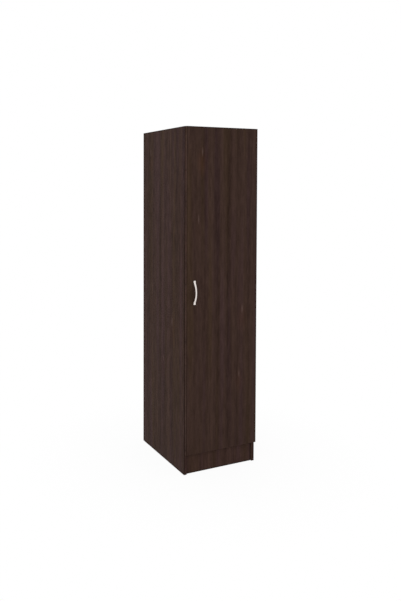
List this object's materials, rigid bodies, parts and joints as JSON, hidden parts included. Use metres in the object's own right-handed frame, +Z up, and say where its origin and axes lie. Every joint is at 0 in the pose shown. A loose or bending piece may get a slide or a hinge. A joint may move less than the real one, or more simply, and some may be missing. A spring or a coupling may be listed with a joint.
{
  "type": "cupboard",
  "caption": "Tall narrow one-door cupboard in dark wood-grain board with shelves, a recessed plinth and a bow handle.",
  "frame": {"origin": "centre of the bounding box's bottom face, on the floor", "axes": "+Z up, -Y the door side, +X the hinge side seen from the front"},
  "size_m": [0.48, 0.596, 2],
  "materials": {
    "carcass_board": "matt dark wood-grain melamine",
    "door_board": "matt dark wood-grain melamine",
    "edge_banding": "satin dark edge banding",
    "back_sheet": "thin hardboard with a printed dark face",
    "dark_plastic": "fine texture",
    "zinc": "zinc plated",
    "hinge_steel": "nickel plated, satin",
    "handle_nickel": "satin nickel",
    "beech": "raw beech",
    "glide_plastic": "smooth nylon",
    "clear_bumper": "soft translucent"
  },
  "bodies": {
    "carcass": {"left_side_panel": "carcass_board", "right_side_panel": "carcass_board", "top_panel": "carcass_board", "bottom_panel": "carcass_board", "fixed_shelf": "carcass_board", "loose_shelf_1": "carcass_board", "loose_shelf_2": "carcass_board", "loose_shelf_3": "carcass_board", "loose_shelf_4": "carcass_board", "plinth_board": "carcass_board", "side_edge_bands": "edge_banding", "board_edge_bands": "edge_banding", "lower_back_panel": "back_sheet", "upper_back_panel": "back_sheet", "back_joining_strip": "dark_plastic", "cam_caps": "dark_plastic", "catch_housing": "dark_plastic", "cam_locks": "zinc", "cam_bolts": "zinc", "shelf_pins": "zinc", "wall_bracket": "zinc", "wall_bracket_screws": "zinc", "catch_poles": "zinc", "catch_screws": "zinc", "hinge_plate_1": "hinge_steel", "hinge_arm_1": "hinge_steel", "hinge_plate_2": "hinge_steel", "hinge_arm_2": "hinge_steel", "hinge_plate_3": "hinge_steel", "hinge_arm_3": "hinge_steel", "hinge_plate_4": "hinge_steel", "hinge_arm_4": "hinge_steel", "hinge_plate_screws": "hinge_steel", "hinge_arm_screws": "hinge_steel", "dowels": "beech", "floor_glides": "glide_plastic"},
    "door": {"door_panel": "door_board", "door_edge_bands": "edge_banding", "bow_handle": "handle_nickel", "handle_screws": "zinc", "hinge_pins": "hinge_steel", "hinge_cup_screws": "hinge_steel", "strike_plate": "zinc", "strike_screw": "zinc", "door_bumpers": "clear_bumper", "hinge_cup_1": "hinge_steel", "hinge_cup_2": "hinge_steel", "hinge_cup_3": "hinge_steel", "hinge_cup_4": "hinge_steel"}
  },
  "joints": [
    {"name": "door_hinge", "type": "hinge", "parent": "carcass", "child": "door", "pos_m": [0.2314, -0.2634, 1], "axis": [0, 0, 1], "range_deg": [0, 95]}
  ]
}
